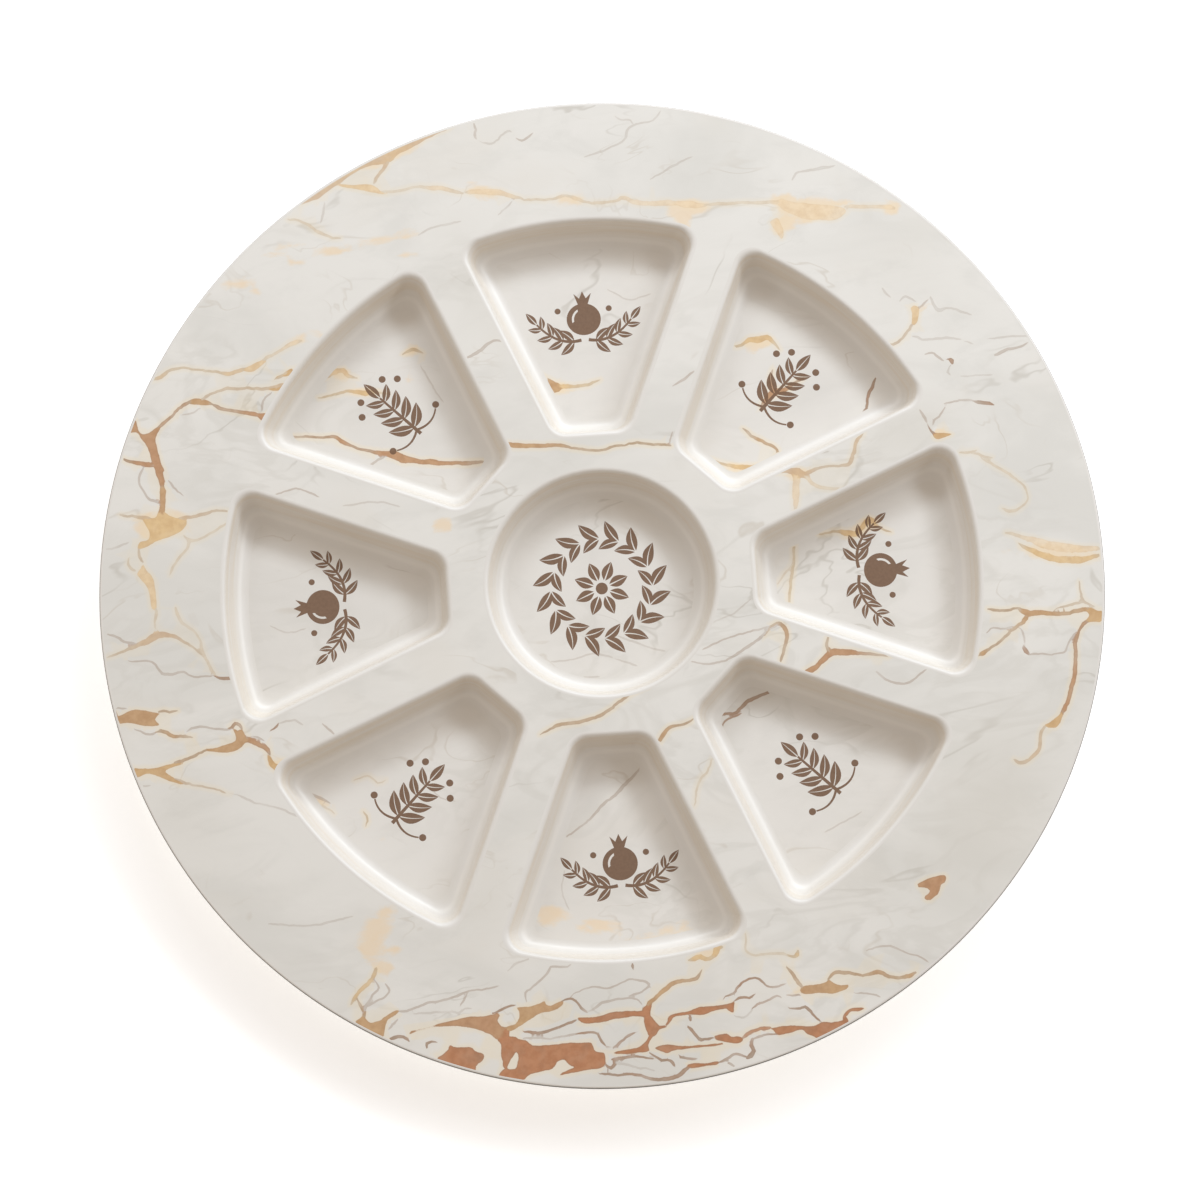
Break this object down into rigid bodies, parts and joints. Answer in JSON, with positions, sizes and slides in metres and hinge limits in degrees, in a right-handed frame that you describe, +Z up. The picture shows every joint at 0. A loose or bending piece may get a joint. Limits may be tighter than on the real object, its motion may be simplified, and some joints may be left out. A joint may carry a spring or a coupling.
{
  "type": "rosh hashanah plate",
  "caption": "Round moulded plate with wedge-shaped wells around a round centre well and a marble print on the deck and well floors, for serving symbolic holiday foods.",
  "frame": {"origin": "on the surface the plate stands on, under the plate's centre", "axes": "+Z up along the plate's axis; +X through the middle of the first wedge well; +Y through the middle of the third"},
  "size_m": [0.38, 0.38, 0.0163],
  "materials": {
    "melamine": "glossy moulded melamine, warm cream white",
    "deck_print": "glossy printed foil, warm grey-white marble with gold, peach and copper veins",
    "floor_print": "glossy printed foil, warm grey-white marble with gold and copper veins"
  },
  "bodies": {
    "root": {"plate_body": "melamine", "deck_foil": "deck_print", "floor_foil_1": "floor_print", "floor_foil_2": "floor_print", "floor_foil_3": "floor_print", "floor_foil_4": "floor_print", "floor_foil_5": "floor_print", "floor_foil_6": "floor_print", "floor_foil_7": "floor_print", "floor_foil_8": "floor_print", "floor_foil_centre": "floor_print"}
  },
  "joints": []
}
